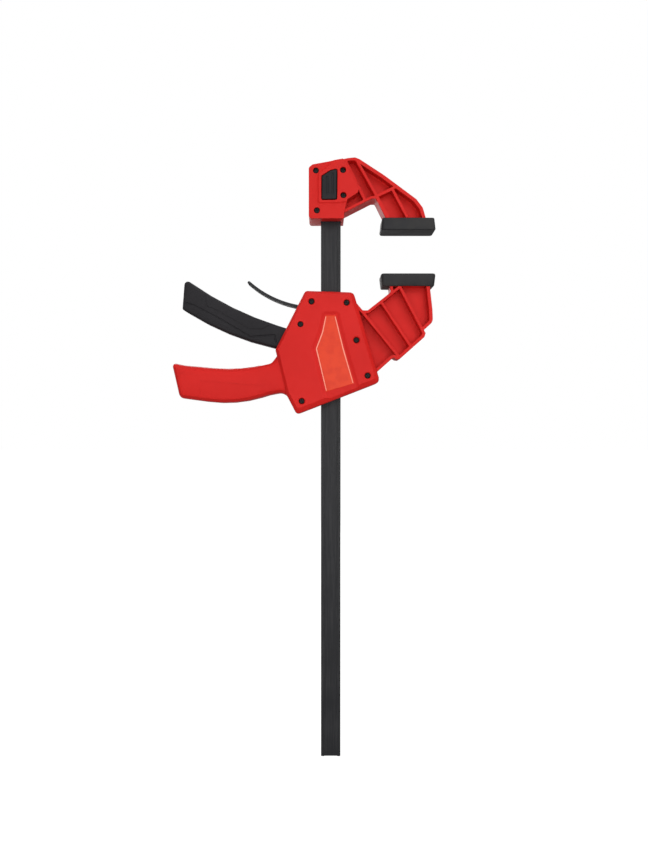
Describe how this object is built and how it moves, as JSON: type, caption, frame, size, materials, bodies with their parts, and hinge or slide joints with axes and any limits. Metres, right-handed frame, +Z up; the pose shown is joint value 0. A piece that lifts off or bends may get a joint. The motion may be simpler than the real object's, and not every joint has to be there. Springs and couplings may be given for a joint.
{
  "type": "quick release bar clamp",
  "caption": "One-handed bar clamp: flat steel bar, ribbed fixed jaw with a release button, and a sliding head with squeeze trigger, brake lever, handle and padded moving jaw.",
  "frame": {"origin": "middle of the fixed pad's clamping face, level with that face and half way through its width and length", "axes": "+Z up along the bar, from the moving head towards the fixed jaw; +X out along the jaws, away from the bar; -Y is the front, where the screws, button and label are"},
  "size_m": [0.2516, 0.0345, 0.5788],
  "materials": {
    "red_plastic": "satin moulded",
    "black_plastic": "satin moulded",
    "bar_steel": "satin black",
    "pad_rubber": "soft matt",
    "black_screws": "black oxide",
    "black_lever": "black",
    "bright_steel": "plated",
    "label": "printed film, bare"
  },
  "bodies": {
    "root": {"bar": "bar_steel", "fixed_jaw": "red_plastic", "fixed_jaw_cover": "red_plastic", "fixed_jaw_screws": "black_screws", "fixed_pad": "pad_rubber"},
    "release_button": {"release_button": "black_plastic", "lock_pin": "bright_steel", "button_spring": "bright_steel"},
    "head": {"front_shell": "red_plastic", "rear_shell": "red_plastic", "moving_jaw": "red_plastic", "moving_pad": "pad_rubber", "shell_screws": "black_screws", "label": "label", "trigger_pin": "bright_steel", "drive_spring": "bright_steel", "brake_spring": "bright_steel"},
    "trigger": {"trigger": "black_plastic"},
    "drive_plates": {"drive_plate_upper": "bright_steel", "drive_plate_lower": "bright_steel"},
    "brake_lever": {"brake_lever": "black_lever"}
  },
  "joints": [
    {"name": "head_slide", "type": "slide", "parent": "root", "child": "head", "axis": [0, 0, 1], "range_m": [-0.334, 0.041]},
    {"name": "trigger_pivot", "type": "hinge", "parent": "head", "child": "trigger", "pos_m": [-0.0581, 0, -0.097], "axis": [0, -1, 0], "range_deg": [0, 13.4], "stiffness_Nm_per_rad": 1.6, "springref_deg": -8.59, "deforming": ["drive_spring"]},
    {"name": "drive_plate_slide", "type": "slide", "parent": "head", "child": "drive_plates", "axis": [0, 0, -1], "range_m": [0, 0.0074]},
    {"name": "brake_lever_pivot", "type": "hinge", "parent": "head", "child": "brake_lever", "pos_m": [-0.0522, 0, -0.0813], "axis": [0, -1, 0], "range_deg": [0, 8], "stiffness_Nm_per_rad": 0.35, "springref_deg": -8.59, "deforming": ["brake_spring"]},
    {"name": "button_press", "type": "slide", "parent": "root", "child": "release_button", "axis": [0, 1, 0], "range_m": [0, 0.0042], "stiffness_N_per_m": 600, "springref_m": -0.003, "deforming": ["button_spring"]}
  ],
  "couplings": [
    {"joint": "drive_plate_slide", "follows": "trigger_pivot", "m_per_rad": 0.0312}
  ]
}
